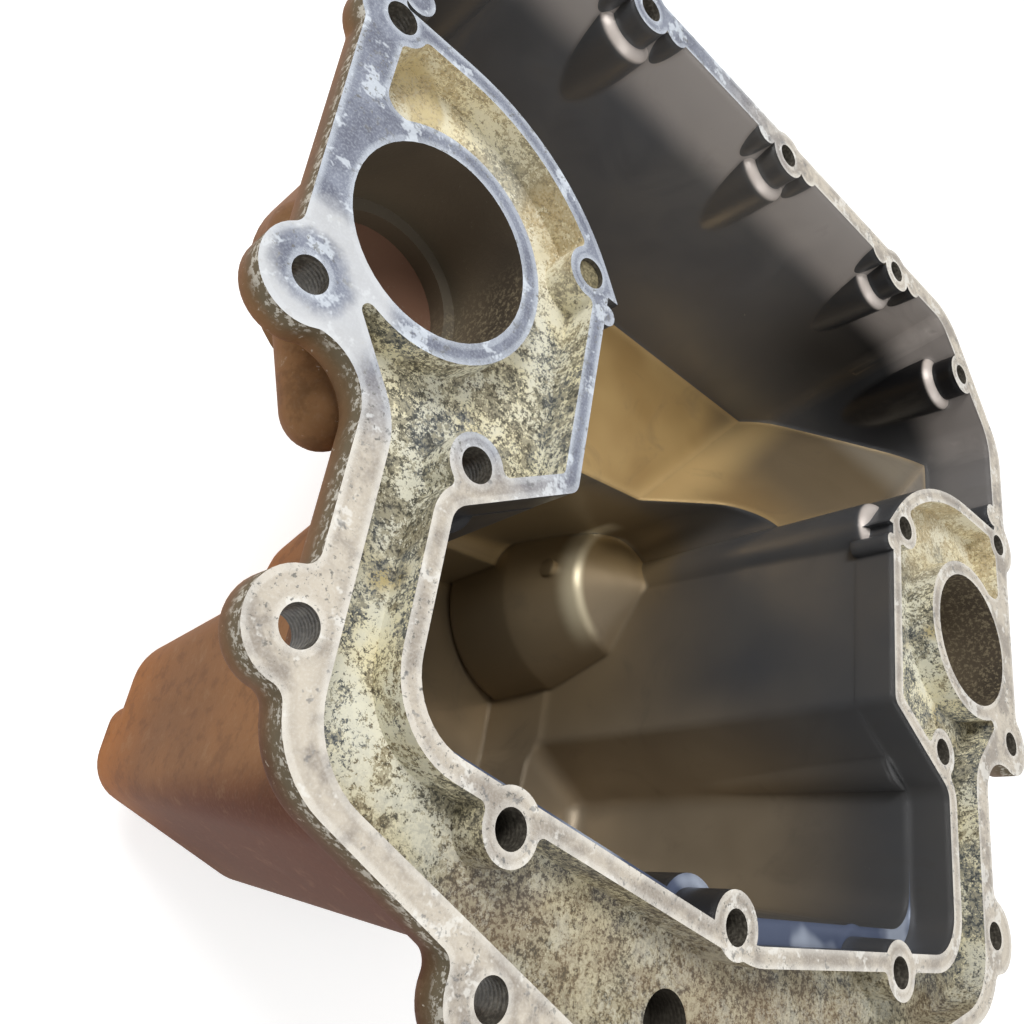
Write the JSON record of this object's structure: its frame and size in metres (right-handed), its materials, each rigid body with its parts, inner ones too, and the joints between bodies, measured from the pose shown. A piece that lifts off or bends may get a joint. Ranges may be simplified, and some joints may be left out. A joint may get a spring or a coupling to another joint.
{
  "type": "engine oil pan",
  "caption": "Deep cast aluminium oil pan with a bolt flange, an open coolant channel in its gasket face round two stepped bores, and a drain plug in the sump.",
  "frame": {"origin": "on the gasket face, midway between the centres of the two coolant bores", "axes": "+Z out of the gasket face, away from the sump; +Y towards the straight bolt rail; +X towards the bore on the drain plug's side"},
  "size_m": [0.3505, 0.3345, 0.2075],
  "materials": {
    "cast_aluminium": "as-cast, with machined lands and mineral deposit",
    "plated_steel": "zinc plated, dull",
    "seal_washer": "soft aluminium, dull"
  },
  "bodies": {
    "root": {"pan_casting": "cast_aluminium", "drain_plug": "plated_steel", "drain_washer": "seal_washer"}
  },
  "joints": []
}
